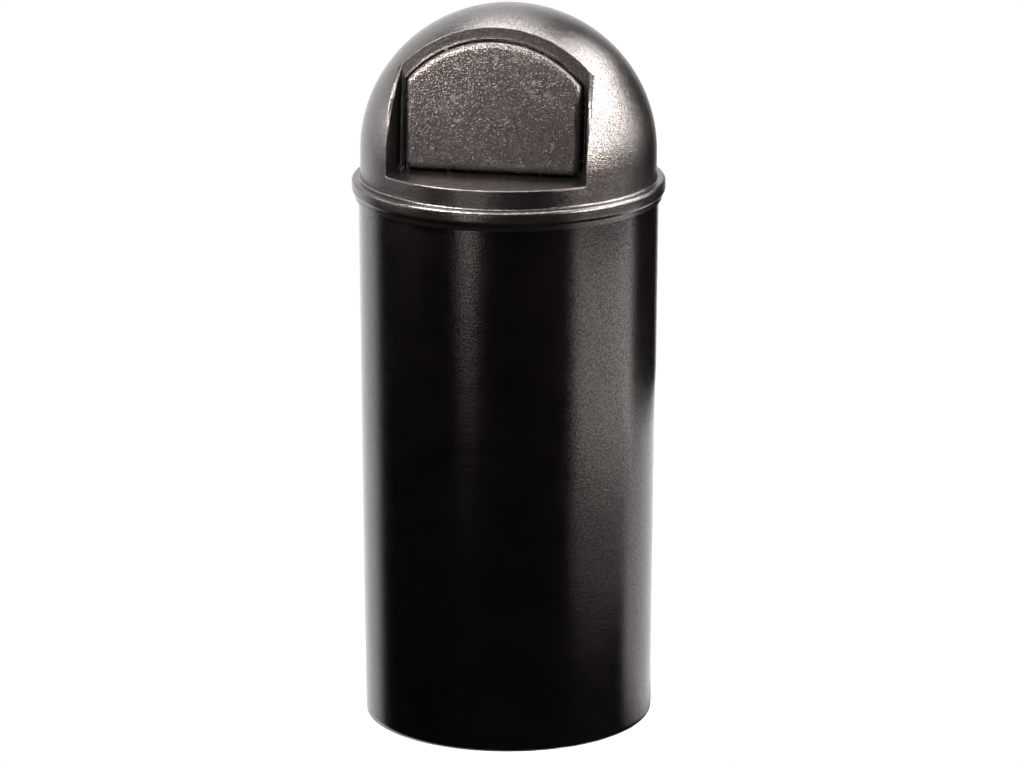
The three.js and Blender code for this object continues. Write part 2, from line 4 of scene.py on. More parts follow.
import bmesh
import bpy
import numpy as np
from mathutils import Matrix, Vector


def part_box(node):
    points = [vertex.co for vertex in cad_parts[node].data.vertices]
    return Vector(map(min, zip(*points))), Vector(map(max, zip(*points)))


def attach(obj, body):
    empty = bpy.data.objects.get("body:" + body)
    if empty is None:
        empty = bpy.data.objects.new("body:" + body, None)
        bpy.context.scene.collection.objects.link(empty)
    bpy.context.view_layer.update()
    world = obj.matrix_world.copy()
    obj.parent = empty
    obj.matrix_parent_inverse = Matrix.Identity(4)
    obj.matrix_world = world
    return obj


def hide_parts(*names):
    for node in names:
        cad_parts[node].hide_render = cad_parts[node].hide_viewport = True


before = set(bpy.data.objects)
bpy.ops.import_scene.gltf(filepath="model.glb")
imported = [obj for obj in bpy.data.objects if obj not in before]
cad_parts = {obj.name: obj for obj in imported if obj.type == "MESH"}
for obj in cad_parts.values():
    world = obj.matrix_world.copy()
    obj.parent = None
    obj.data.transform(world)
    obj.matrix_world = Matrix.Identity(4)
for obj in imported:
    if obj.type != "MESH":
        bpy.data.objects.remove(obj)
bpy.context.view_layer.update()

# ---- Sizes -----------------------------------------------
# Millimetres, in the frame of the solids. A depth is measured out of the flat face of the
# recess, and a height along it, from the foot of the perpendicular from the dome's centre.

MM = 0.001
SEAT = 0.3                  # between pieces that rest on each other


def millimetres(corner):
    return [value / MM for value in corner]


LID_LOW, LID_HIGH = (millimetres(corner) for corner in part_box("dome_lid"))
BODY_HIGH = millimetres(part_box("container_body")[1])

# Container
RIM_RADIUS = BODY_HIGH[0]
RIM_HEIGHT = BODY_HIGH[2]
BODY_TAPER = 6.2            # how much less the outside radius is at the floor
BASE_RADIUS = RIM_RADIUS - BODY_TAPER
CONTAINER_WALL = 4.5
RIM_BEAD_WIDTH = 7          # the rim is thicker, inwards
RIM_BEAD_DEPTH = 10
BASE_ROUND = 7              # outer edge at the floor
FOOT_WIDTH = 14             # flat ring that it stands on
FOOT_RISE = 10              # how far the base is raised inside the ring
FOOT_ROUND = 3
BASE_THICKNESS = 5
BASE_FILLET = 12            # inside, between wall and base

# Lid
WALL = 4
SKIRT_RADIUS = LID_HIGH[0]  # band round the rim
SKIRT_BOTTOM = LID_LOW[2]
SKIRT_ROUND = 5             # upper outer edge of the band
FLANGE_UNDERSIDE = RIM_HEIGHT + SEAT
FLANGE_TOP = FLANGE_UNDERSIDE + WALL
COLLAR = 39.3               # upright part of the dome below its centre
COLLAR_FILLET = 3           # between the collar and the flange
DOME_CENTRE = FLANGE_TOP + COLLAR
DOME_INSET = 3.1            # outside of the dome, inside the rim's radius
DOME_RADIUS = RIM_RADIUS - DOME_INSET
DOME_RISE = LID_HIGH[2] - DOME_CENTRE
LIP_CLEARANCE = 0.3         # band's lip to the container, on the radius
LIP_RADIUS = RIM_RADIUS + LIP_CLEARANCE
LIP_HEIGHT = 7
LIP_PROUD = 1.2             # what the lip's lower edge adds to its inside radius
LIP_TURN = 0.72             # share of a quarter turn that the taper above the lip's foot takes

# Recess in the dome
FACE_DISTANCE = 104         # dome's centre to the flat face, square to the face
FACE_TILT = math.radians(6.4)
SIN, COS = math.sin(FACE_TILT), math.cos(FACE_TILT)
FACE_HALF = 138             # middle of the face to its side walls
FACE_BACK = -WALL
DRAFT = math.tan(math.radians(8))
SHELF_DROP = 10.8           # shelf below the dome's centre
SHELF_LIP = 14              # height of the lip turned down at the back of the shelf
ARCH_MARGIN = 17            # opening's arched top, below the edge of the face
SIDE_MARGIN = 7             # opening's sides, inside those of the face
OPENING_RADIUS = math.sqrt(DOME_RISE ** 2 - FACE_DISTANCE ** 2) - ARCH_MARGIN
OPENING_HALF = FACE_HALF - SIDE_MARGIN
FLARE = 5.5                 # how far the side walls flare to the dome, at their top
FLARE_FOOT = 30             # height above the dome's centre where the flare starts
FLARE_CURVE = 0.6           # power of its growth: below 1, it widens sooner
WALL_STEP = 1.0             # small step in the side walls
WALL_STEP_HEIGHT = 95       # its height above the dome's centre
WALL_STEP_HALF = 0.6        # half of the height over which it runs out

# Rounds of the lid's edges
EDGE_ROUND = 1.4            # side walls to the dome, and all of the recess inside
ARCH_EDGE_ROUND = 0.5       # face to the dome, over the door
SHELF_EDGE_ROUND = 3.0      # shelf to the collar
BEVEL_ROUND = 0.8           # where the flare ends on the side wall
CORNER_ROUND = 3            # concave corners round the face
SHELF_CORNER_ROUND = 1.4    # concave corners at the shelf's ends
OPENING_ROUND = 0.6

# Bead round the opening. Its section runs from its outer foot to the opening's edge, in shares
# of its width and height: a slope outside, and a steep, rounded side to the opening.
BEAD_WIDTH = 4
BEAD_HEIGHT = 1.9
BEAD_FOOT = 6               # bead's lower ends above the shelf
BEAD_RUNOUT = 2.5           # height over which they rise out of the face
BEAD_SECTION = [(1.0, 0), (0.95, 0.06), (0.88, 0.2), (0.5, 0.9), (0.42, 0.98), (0.3, 1.0),
                (0.15, 0.8), (0.05, 0.35)]

# Door
DOOR_GAP = 3                # opening's edge to the raised panel
DOOR_OVERLAP = 4            # flange behind the arch of the opening
DOOR_SIDE_OVERLAP = 6       # flange behind the sides and the shelf's lip
DOOR_PROUD = 17             # panel in front of the flat face
DOOR_SHOULDER = 9
DOOR_CORNER = 11
PANEL_CORNER = 3            # corners of the panel's flat front, inside the shoulder
FLANGE_CORNER = 5
DOOR_SHELL = 2.5
BUMPER_THICKNESS = 1.4      # between the face's back and the flange, with a seat on each side
FLANGE_FRONT = FACE_BACK - SEAT - BUMPER_THICKNESS - SEAT
FLANGE_BACK = FLANGE_FRONT - DOOR_SHELL
BACK_PLATE = 2
PLATE_FRONT = FLANGE_BACK - SEAT
PLATE_BACK = PLATE_FRONT - BACK_PLATE

# Hinge. Lengths along the rod are measured from its middle.
RUNNING = 0.3               # round pins in their holes, on the radius
ROD_RADIUS = 3
KNUCKLE_WALL = 1.7
KNUCKLE_RADIUS = ROD_RADIUS + RUNNING + KNUCKLE_WALL
LEAF_HALF_WIDTH = 25
LEAF_BACK = PLATE_BACK - SEAT - KNUCKLE_WALL
AXIS_RISE = 1.5             # rod's centre above the top of the door's flange
AXIS_HEIGHT = OPENING_RADIUS + DOOR_OVERLAP + AXIS_RISE
AXIS_DEPTH = PLATE_BACK - SEAT - KNUCKLE_RADIUS
SPRING_WIRE = 1.6
SPRING_TURNS = 7
SPRING_TURN_GAP = 0.5
SPRING_START = LEAF_HALF_WIDTH + SPRING_WIRE
SPRING_LENGTH = SPRING_TURNS * (SPRING_WIRE + SPRING_TURN_GAP)
SPRING_RADIUS = ROD_RADIUS + RUNNING + SPRING_WIRE / 2      # to the wire's centre
SPRING_ARM = 36
BRACKET_STEEL = 2
NUT_INNER = SPRING_START + SPRING_LENGTH + SPRING_WIRE + BRACKET_STEEL + SEAT
NUT_THICKNESS = 1.5
ROD_OVERHANG = 3            # rod's end beyond the push nut
ROD_HALF_LENGTH = NUT_INNER + NUT_THICKNESS + ROD_OVERHANG
BOSS_RADIUS = 4.4
BOSS_HEIGHT = 5
BOSS_END = FACE_BACK - BOSS_HEIGHT
BOSS_ARC = OPENING_RADIUS + DOOR_OVERLAP + DOOR_GAP + BOSS_RADIUS
BRACKET_BACK = BOSS_END - SEAT - BRACKET_STEEL
SCREW_RADIUS = 1.9
SCREW_THREAD = 5.5          # length inside the boss
RIVET_RADIUS = 1.6

# Fineness of the meshes
BODY_SEGMENTS = 192
PIN_SEGMENTS = 28           # round rivets, screws, nuts and the rod
WIRE_SIDES = 14
COIL_STEPS = 28             # points in a turn of a spring
BEND_STEPS = 7


# ---- Meshes ----------------------------------------------

SAME_PLACE, NO_LENGTH = 1e-5, 1e-6      # metres
CENTRE = np.array([0, 0, DOME_CENTRE])


def new_object(name, data):
    obj = bpy.data.objects.new(name, data)
    bpy.context.scene.collection.objects.link(obj)
    return obj


def make_object(name, vertices, faces, material):
    """A smooth mesh object from vertices in millimetres."""
    mesh = bpy.data.meshes.new(name)
    mesh.from_pydata([tuple(v) for v in np.asarray(vertices) * MM], [], faces)
    mesh.validate()
    work = bmesh.new()
    work.from_mesh(mesh)
    bmesh.ops.remove_doubles(work, verts=work.verts, dist=SAME_PLACE)
    bmesh.ops.dissolve_degenerate(work, edges=work.edges, dist=NO_LENGTH)
    bmesh.ops.recalc_face_normals(work, faces=work.faces)
    work.to_mesh(mesh)
    work.free()
    mesh.polygons.foreach_set("use_smooth", [True] * len(mesh.polygons))
    mesh.materials.append(material)
    obj = new_object(name, mesh)
    modifier = obj.modifiers.new("even_shading", "WEIGHTED_NORMAL")
    modifier.keep_sharp = True
    modifier.weight = 60
    return obj


def stands_for(obj, body, slot, *nodes):
    """Says what a piece rides on and the CAD nodes that it is shown in place of. Its slot is not
    used.
    """
    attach(obj, body)
    if nodes:
        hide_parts(*nodes)


def grid_faces(rows, columns, close_rows=False):
    """Quads of a grid whose columns close on themselves."""
    faces = []
    for row in range(rows if close_rows else rows - 1):
        below = (row + 1) % rows
        for column in range(columns):
            right = (column + 1) % columns
            faces.append((row * columns + column, below * columns + column,
                          below * columns + right, row * columns + right))
    return faces


def capped_faces(rows, columns):
    """Faces of a grid whose first and last rows are filled in."""
    first, last = range(columns), range((rows - 1) * columns, rows * columns)
    return grid_faces(rows, columns) + [tuple(first), tuple(last)]


def arc(centre_r, centre_z, radius, start, end, steps):
    """Points of a profile's round corner, between two angles in quarter turns."""
    angles = np.linspace(start, end, steps + 1) * math.pi / 2
    return [(centre_r + radius * math.cos(a), centre_z + radius * math.sin(a)) for a in angles]


def rounded(before, corner, after, radius, steps):
    """Rows of a round corner, no wider than the two sides allow."""
    def part_way(side):
        length = np.linalg.norm(side, axis=-1, keepdims=True)
        return corner + side / np.maximum(length, 1e-9) * np.minimum(radius, 0.45 * length)

    start, end = part_way(before - corner), part_way(after - corner)
    rows = []
    for share in np.linspace(0, 1, steps + 1):
        rows.append((1 - share) ** 2 * start + 2 * share * (1 - share) * corner + share ** 2 * end)
    return rows


def turned_rows(profile, azimuths):
    """Rows of points, one for each [radius, height] pair, at the given azimuths from -Y."""
    rows = []
    for radius, height in profile:
        rows.append(np.stack([radius * np.sin(azimuths), -radius * np.cos(azimuths),
                              np.full_like(azimuths, height)], axis=-1))
    return rows


# ---- Container -------------------------------------------

def container_profile():
    """From the middle of the base round the foot, up the outside and back down the inside."""
    foot_outer = BASE_RADIUS - BASE_ROUND
    foot_inner = foot_outer - FOOT_WIDTH
    base_top = FOOT_RISE + BASE_THICKNESS
    wall_foot = base_top + BASE_FILLET
    rim_round = RIM_BEAD_WIDTH / 4
    bead_inner = RIM_RADIUS - RIM_BEAD_WIDTH
    bead_foot = RIM_HEIGHT - RIM_BEAD_DEPTH
    slope_foot = bead_foot - RIM_BEAD_WIDTH
    rim_margin, foot_margin, side_rings = 12, 2, 24
    inner_ring, outer_ring = 60, foot_inner - 30

    def radius_at(height):
        return BASE_RADIUS + (RIM_RADIUS - BASE_RADIUS) * height / RIM_HEIGHT

    sides = [(radius_at(z), z) for z in
             np.linspace(BASE_ROUND + foot_margin, RIM_HEIGHT - rim_margin, side_rings)]
    inside_foot = radius_at(wall_foot) - CONTAINER_WALL
    return [
        (0, FOOT_RISE), (outer_ring, FOOT_RISE),
        *arc(foot_inner - FOOT_RISE, FOOT_RISE - FOOT_ROUND, FOOT_ROUND, 1, 0, 4),
        (foot_inner - 1.5, 0.6), (foot_inner, 0), (foot_outer - 1, 0),
        *arc(foot_outer, BASE_ROUND, BASE_ROUND, -1, 0, 10),
        *sides,
        *arc(RIM_RADIUS - rim_round, RIM_HEIGHT - rim_round, rim_round, 0, 1, 4),
        *arc(bead_inner + rim_round, RIM_HEIGHT - rim_round, rim_round, 1, 2, 4),
        (bead_inner, bead_foot),
        (radius_at(slope_foot) - CONTAINER_WALL, slope_foot),
        *[(r - CONTAINER_WALL, z) for r, z in reversed(sides)
          if wall_foot < z < bead_foot - rim_margin],
        *arc(inside_foot - BASE_FILLET, wall_foot, BASE_FILLET, 0, -1, 8),
        (inner_ring, base_top), (0, base_top),
    ]


def build_container(material):
    azimuths = np.linspace(0, 2 * math.pi, BODY_SEGMENTS, endpoint=False)
    rows = turned_rows(container_profile(), azimuths)
    container = make_object("moulded_container", np.concatenate(rows),
                            grid_faces(len(rows), BODY_SEGMENTS), material)
    stands_for(container, "container", "body_plastic", "container_body")


# ---- The flat face and the dome --------------------------

def face_point(x, height, depth):
    """A place in the flat face's own frame, relative to the dome's centre."""
    along = -(FACE_DISTANCE + depth)
    return np.stack(np.broadcast_arrays(
        x, along * COS + height * SIN, -along * SIN + height * COS), axis=-1)


def face_ray(angle):
    """A direction in the flat face, at an angle up from +X."""
    return face_point(np.cos(angle), np.sin(angle), 0) - face_point(0, 0, 0)


def face_y(z, depth):
    return -((FACE_DISTANCE + depth) - z * SIN) / COS


def face_height(z, depth):
    return (z - (FACE_DISTANCE + depth) * SIN) / COS


SHELF_HEIGHT = face_height(-SHELF_DROP, 0)


def dome_half_sizes(wall):
    return DOME_RADIUS - wall, DOME_RISE - wall


def dome_radius_at(z, wall):
    radius, rise = dome_half_sizes(wall)
    return radius * np.sqrt(1 - np.clip(z / rise, 0, 1) ** 2)


def directions(azimuth, elevation):
    return np.stack([np.cos(elevation) * np.sin(azimuth), -np.cos(elevation) * np.cos(azimuth),
                     np.sin(elevation) * np.ones_like(azimuth)], axis=-1)


def to_direction(points, wall):
    """Unit directions that stand for places on the dome and its collar."""
    radius, rise = dome_half_sizes(wall)
    z = points[..., 2]
    elevation = np.where(z > 0, np.arcsin(np.clip(z / rise, -1, 1)), z / radius)
    azimuth = np.arctan2(points[..., 0], -points[..., 1])
    return directions(azimuth, elevation)


def on_dome(unit, wall):
    """The places that such directions stand for."""
    radius, rise = dome_half_sizes(wall)
    elevation = np.arcsin(np.clip(unit[..., 2], -1, 1))
    azimuth = np.arctan2(unit[..., 0], -unit[..., 1])
    flat = np.where(elevation > 0, radius * np.cos(elevation), radius)
    z = np.where(elevation > 0, rise * np.sin(elevation), radius * elevation)
    return np.stack([flat * np.sin(azimuth), -flat * np.cos(azimuth), z], axis=-1)


def between(a, b, share):
    """Directions part of the way from one to another, on the great circle."""
    angle = np.arccos(np.clip((a * b).sum(-1, keepdims=True), -1, 1))
    share = np.asarray(share)[..., None]
    return (np.sin((1 - share) * angle) * a + np.sin(share * angle) * b) / np.sin(angle)


def wall_on_dome(sideways, z, wall):
    """Where a level line on the drafted side wall meets the dome."""
    reach = FACE_HALF + sideways + face_y(z, -wall) * DRAFT
    radius = dome_radius_at(z, wall)
    a, b, c = 1 + DRAFT ** 2, -2 * reach * DRAFT, reach ** 2 - radius ** 2
    y = (-b - np.sqrt(np.maximum(b ** 2 - 4 * a * c, 0))) / (2 * a)
    return np.stack([reach - y * DRAFT, y, z], axis=-1)


def arch_on_dome(angle, wall):
    """Where a ray in the flat face, from below the arch, meets the dome."""
    radius, rise = dome_half_sizes(wall)
    size = np.array([radius, radius, rise])
    start = face_point(0, 0, -wall) / size
    ray = face_ray(angle) / size
    a, b, c = (ray ** 2).sum(-1), 2 * (ray * start).sum(-1), (start ** 2).sum() - 1
    reach = (-b + np.sqrt(b ** 2 - 4 * a * c)) / (2 * a)
    return face_point(reach * np.cos(angle), reach * np.sin(angle), -wall)


def upper_corner(wall):
    """Height above the dome's centre where side wall, face and dome meet, found by halving."""
    low, high = 60.0, 180.0
    for _ in range(50):
        z = (low + high) / 2
        inside = (FACE_HALF + wall) ** 2 + face_y(z, -wall) ** 2 < dome_radius_at(z, wall) ** 2
        low, high = (z, high) if inside else (low, z)
    return low


# ---- Lid -------------------------------------------------
# The lid's skin is one closed grid. Each of its lines runs from the collar over the dome to the
# edge of the recess, on into the recess to the door's opening, through the opening's edge, and
# back on the inside. Below the collar the lines close round the flange and the band. The lines
# of the right half cross the shelf, its corner, the side wall and the arch, and the left half
# mirrors them.

SHELF_LINES = 26
CORNER_LINES = 5
WALL_LINES = 36
ARCH_LINES = 46
DOME_ROWS, INNER_DOME_ROWS = 30, 20
DOME_EASE = 1.35            # rows lie closer together towards the recess
DOME_CLEARANCE = 2.4        # last row to the edge of the recess, in radii of the edge's round
COLLAR_START = 33           # below the dome's centre, where the dome's lines begin
SILL_SHARE = 0.9996         # where the shelf's last line ends, just short of the opening's side
ARCH_INSET = 4.0            # over the door the face meets the dome, and a line's place on the
CORNER_INSET = 0.8          # face lies this far in from there, less at the upper corners
INSET_RISE = 18


def smooth_step(values, low, high):
    share = np.clip((values - low) / (high - low), 0, 1)
    return share * share * (3 - 2 * share)


def wall_shares():
    """Shares of the side wall's height, closer together at its small step."""
    close = np.array([-0.006, -0.002, 0.002, 0.006])
    even = np.linspace(0.03, 0.975, WALL_LINES - len(close))
    step = (WALL_STEP_HEIGHT + SHELF_DROP) / (upper_corner(0) + SHELF_DROP)
    return np.sort(np.concatenate([even, step + close]))


def shelf_stations(wall, corner_edge):
    """Edge on the collar, back edge at the opening, and the directions from back to edge."""
    share = np.linspace(0, 1, SHELF_LINES, endpoint=False)
    level = np.full(SHELF_LINES, -SHELF_DROP - wall)
    azimuth = share * math.atan2(corner_edge[0], -corner_edge[1])
    radius = DOME_RADIUS - wall
    edge = np.stack([radius * np.sin(azimuth), -radius * np.cos(azimuth), level], axis=-1)
    x = np.minimum(share * (SHELF_LINES / (SHELF_LINES - 1)), SILL_SHARE) * OPENING_HALF
    back = np.stack([x, face_y(level, -WALL), level], axis=-1)
    outward = edge - back
    return edge, back, outward / np.linalg.norm(outward, axis=-1, keepdims=True)


def corner_stations(wall, step):
    """Heights, edge on the dome, and corner at the face, round the shelf's concave end."""
    turn = np.linspace(0, math.pi / 2, CORNER_LINES)
    radius = SHELF_CORNER_ROUND + wall
    side = -SHELF_CORNER_ROUND + radius * np.sin(turn) + step * np.sin(turn)
    z = -SHELF_DROP + SHELF_CORNER_ROUND - radius * np.cos(turn)
    face = np.stack([FACE_HALF + side, face_y(z, -wall), z], axis=-1)
    return z, wall_on_dome(side, z, wall), face


def wall_stations(wall, step, foot, shares):
    """Edge on the dome without the flare and with it, and corner at the face, up the side wall."""
    top = upper_corner(wall)
    z = foot + (top - foot) * shares
    run_out = smooth_step(z, WALL_STEP_HEIGHT - WALL_STEP_HALF, WALL_STEP_HEIGHT + WALL_STEP_HALF)
    side = wall + step * (1 - run_out)
    flare = 0 if wall else FLARE * smooth_step(z, FLARE_FOOT, top) ** FLARE_CURVE
    face = np.stack([FACE_HALF + side, face_y(z, -wall), z], axis=-1)
    return wall_on_dome(side, z, wall), wall_on_dome(side + flare, z, wall), face


def arch_stations(wall, sweep):
    """Edge on the dome, and corner at the face, over the top of the recess."""
    first = math.atan2(face_height(upper_corner(wall), -wall), FACE_HALF + wall)
    angle = first + (math.pi / 2 - first) * sweep
    edge = arch_on_dome(angle, wall)
    inset = np.minimum(CORNER_INSET + INSET_RISE * sweep, ARCH_INSET)[:, None]
    return edge, edge - inset * face_ray(angle)


def stations(wall):
    """Places on each line of the right half, outside where wall is 0, or inside: the edge of the
    recess, the end of the flare on its side, and the corner at the face. The last result is a
    function for the opening's outline, so far outside its edge and so far out of the face."""
    shares = wall_shares()
    sweep = np.linspace(0, 1, ARCH_LINES)
    step = WALL_STEP if wall == 0 else 0
    corner_z, corner_edge, corner_face = corner_stations(wall, step)
    wall_top, wall_edge, wall_face = wall_stations(wall, step, corner_z[-1], shares)
    arch_edge, arch_face = arch_stations(wall, sweep)
    shelf_edge, shelf_back, outward = shelf_stations(wall, corner_edge[0])
    shelf_face = shelf_back + outward * (DOOR_GAP + WALL)

    def opening(outside, depth):
        radius, half = OPENING_RADIUS + outside, OPENING_HALF + outside
        foot = face_height(np.maximum(corner_z, -SHELF_DROP - wall), -wall)
        low = face_height(-SHELF_DROP + SHELF_CORNER_ROUND, 0)
        top = math.sqrt(radius ** 2 - half ** 2)
        side = face_point(half, np.concatenate([foot, low + (top - low) * shares]), depth)
        start = math.acos(half / radius)
        angle = start + (math.pi / 2 - start) * sweep
        arch = face_point(radius * np.cos(angle), radius * np.sin(angle), depth)
        return np.concatenate([shelf_back + outward * outside, side, arch])

    edge = np.concatenate([shelf_edge, corner_edge, wall_edge, arch_edge])
    square = np.concatenate([shelf_edge, corner_edge, wall_top, arch_edge])
    face = np.concatenate([shelf_face, corner_face, wall_face, arch_face])
    inward = face - square
    depth = np.linalg.norm(inward, axis=-1, keepdims=True)
    return edge, square + inward / depth * np.minimum(FLARE, 0.5 * depth), face, opening


def target_azimuths():
    """Where each line of the right half reaches the collar."""
    shelf_end, corner_end, wall_end = 43, 46, 82
    shelf = np.linspace(0, math.radians(shelf_end), SHELF_LINES, endpoint=False)
    corner = np.radians(np.linspace(shelf_end, corner_end, CORNER_LINES, endpoint=False))
    walls = np.radians(np.linspace(corner_end, wall_end, WALL_LINES, endpoint=False))
    arch = np.radians(np.linspace(wall_end, 180, ARCH_LINES))
    return np.concatenate([shelf, corner, walls, arch])


def edge_rounds():
    """How far each line's edge of the recess is rounded."""
    return np.concatenate([np.full(SHELF_LINES, SHELF_EDGE_ROUND),
                           np.linspace(SHELF_EDGE_ROUND, EDGE_ROUND, CORNER_LINES),
                           np.full(WALL_LINES, EDGE_ROUND), np.full(ARCH_LINES, ARCH_EDGE_ROUND)])


def dome_rows(edge, wall, count, radius):
    """Rows over the dome, from the collar to just before the edge of the recess."""
    start = directions(target_azimuths(), -COLLAR_START / DOME_RADIUS)
    finish = to_direction(edge, wall)
    angle = np.arccos(np.clip((start * finish).sum(-1), -1, 1))
    last = 1 - DOME_CLEARANCE * radius / (angle * DOME_RADIUS)
    rows = []
    for share in np.linspace(0, 1, count):
        eased = 1 - (1 - share) ** DOME_EASE
        rows.append(on_dome(between(start, finish, last * eased), wall))
    return rows


def lid_rows():
    """The right half's rows, from the collar over the outside, and back on the inside."""
    edge, bevel, face, opening = stations(0)
    inner_edge, _, inner_face, inner_opening = stations(WALL)
    outline = opening(BEAD_WIDTH, 0)
    height = face_height(outline[:, 2], 0)
    bead_foot = height.min() + BEAD_FOOT
    bead = smooth_step(height, bead_foot, bead_foot + BEAD_RUNOUT)
    bead[:SHELF_LINES] = 0

    rounds = edge_rounds()
    rows = dome_rows(edge, 0, DOME_ROWS, rounds)
    rows += rounded(rows[-1], edge, bevel, rounds[:, None], 6)
    rows += rounded(edge, bevel, face, BEVEL_ROUND, 2)
    rows += rounded(bevel, face, outline, CORNER_ROUND, 5)
    rows.append((rows[-1] + outline) / 2)
    for outside, lift in BEAD_SECTION:
        flat = opening(BEAD_WIDTH * outside, 0)
        lifted = opening(BEAD_WIDTH * outside, BEAD_HEIGHT * lift)
        rows.append(flat + bead[:, None] * (lifted - flat))
    front = opening(0, 0)
    back = inner_opening(0, FACE_BACK)
    rows += rounded(rows[-1], front, back, OPENING_ROUND, 3)
    inner_outline = inner_opening(2 * BEAD_WIDTH, FACE_BACK)
    rows += rounded(front, back, inner_outline, OPENING_ROUND, 3)
    rows += rounded(back, inner_face, inner_edge, CORNER_ROUND, 4)
    inner_dome = dome_rows(inner_edge, WALL, INNER_DOME_ROWS, EDGE_ROUND)
    rows += rounded(inner_face, inner_edge, inner_dome[-1], EDGE_ROUND, 3)
    rows += inner_dome[::-1]
    return rows


def band_profile():
    """From the inside of the collar down, round the band, and up to the outside of the collar."""
    inner = DOME_RADIUS - WALL
    cavity = SKIRT_RADIUS - WALL
    lip_top = SKIRT_BOTTOM + LIP_HEIGHT
    taper = SKIRT_RADIUS - LIP_RADIUS - LIP_PROUD
    lip_foot = SKIRT_RADIUS - taper + taper * math.cos(LIP_TURN * math.pi / 2)
    collar_round, cavity_round, edge, foot_turn, shading_margin = 1, 2, 0.4, 0.06, 4
    return [
        *arc(inner + collar_round, FLANGE_UNDERSIDE + collar_round, collar_round, 2, 3, 3),
        *arc(cavity - cavity_round, FLANGE_UNDERSIDE - cavity_round, cavity_round, 1, 0, 4),
        (cavity, lip_top + (cavity - LIP_RADIUS) + edge),
        (LIP_RADIUS + edge, lip_top + 1.5 * edge), (LIP_RADIUS, lip_top - edge),
        (LIP_RADIUS, SKIRT_BOTTOM + 2 * edge), (LIP_RADIUS + edge, SKIRT_BOTTOM),
        (lip_foot - 2.5 * edge, SKIRT_BOTTOM), (lip_foot - edge / 2, SKIRT_BOTTOM + 0.35),
        *arc(SKIRT_RADIUS - taper, lip_top + taper, taper, foot_turn - LIP_TURN, 0, 10),
        (SKIRT_RADIUS, FLANGE_TOP - SKIRT_ROUND - shading_margin),
        *arc(SKIRT_RADIUS - SKIRT_ROUND, FLANGE_TOP - SKIRT_ROUND, SKIRT_ROUND, 0, 1, 8),
        *arc(DOME_RADIUS + COLLAR_FILLET, FLANGE_TOP + COLLAR_FILLET, COLLAR_FILLET, -1, -2, 7),
    ]


def build_lid(material):
    right = [row + CENTRE for row in lid_rows()]
    right += turned_rows(band_profile(), target_azimuths())
    mirrored = np.array([-1, 1, 1])
    rows = [np.concatenate([row, row[-2:0:-1] * mirrored]) for row in right]
    faces = grid_faces(len(rows), len(rows[0]), close_rows=True)
    lid = make_object("moulded_lid", np.concatenate(rows), faces, material)
    stands_for(lid, "lid", "lid_plastic", "dome_lid")


def build_sill(material):
    """The lip turned down at the back of the shelf, a straight bar with rounded edges."""
    drop, overlap, radius, sections = 1, 5, 0.6, 9
    half_depth, half_height = WALL / 2, SHELF_LIP / 2
    depth, height = FACE_BACK / 2, SHELF_HEIGHT - drop - half_height
    section = []
    for quarter, (sign_d, sign_h) in enumerate([(1, 1), (-1, 1), (-1, -1), (1, -1)]):
        for turn in np.linspace(0, math.pi / 2, 4) + quarter * math.pi / 2:
            section.append((depth + sign_d * (half_depth - radius) + radius * math.cos(turn),
                            height + sign_h * (half_height - radius) + radius * math.sin(turn)))
    section = np.array(section)
    half_length = OPENING_HALF + overlap
    rows = [face_point(x, section[:, 1], section[:, 0])
            for x in np.linspace(-half_length, half_length, sections)]
    sill = make_object("sill_lip", np.concatenate(rows) + CENTRE,
                       capped_faces(len(rows), len(section)), material)
    stands_for(sill, "lid", "lid_plastic")


# ---- Door ------------------------------------------------

def arched_outline(radius, half, foot, corner):
    """Points of an arch with rounded corners, from the middle of its foot round to the left."""
    corner = max(corner, 0.3)
    centre_x = half - corner
    centre_height = math.sqrt((radius - corner) ** 2 - centre_x ** 2)
    spring = math.atan2(centre_height, centre_x)
    points = [(x, foot) for x in np.linspace(0, centre_x, 10, endpoint=False)]
    points += [(centre_x + corner * math.sin(a), foot + corner - corner * math.cos(a))
               for a in np.linspace(0, math.pi / 2, 7)]
    points += [(half, height) for height in np.linspace(foot + corner, centre_height, 10)[1:-1]]
    points += [(centre_x + corner * math.cos(a), centre_height + corner * math.sin(a))
               for a in np.linspace(0, spring, 6)]
    points += [(radius * math.cos(a), radius * math.sin(a))
               for a in np.linspace(spring, math.pi / 2, 25)[1:]]
    right = np.array(points)
    left = right[-2:0:-1] * np.array([-1, 1])
    return np.concatenate([right, left])


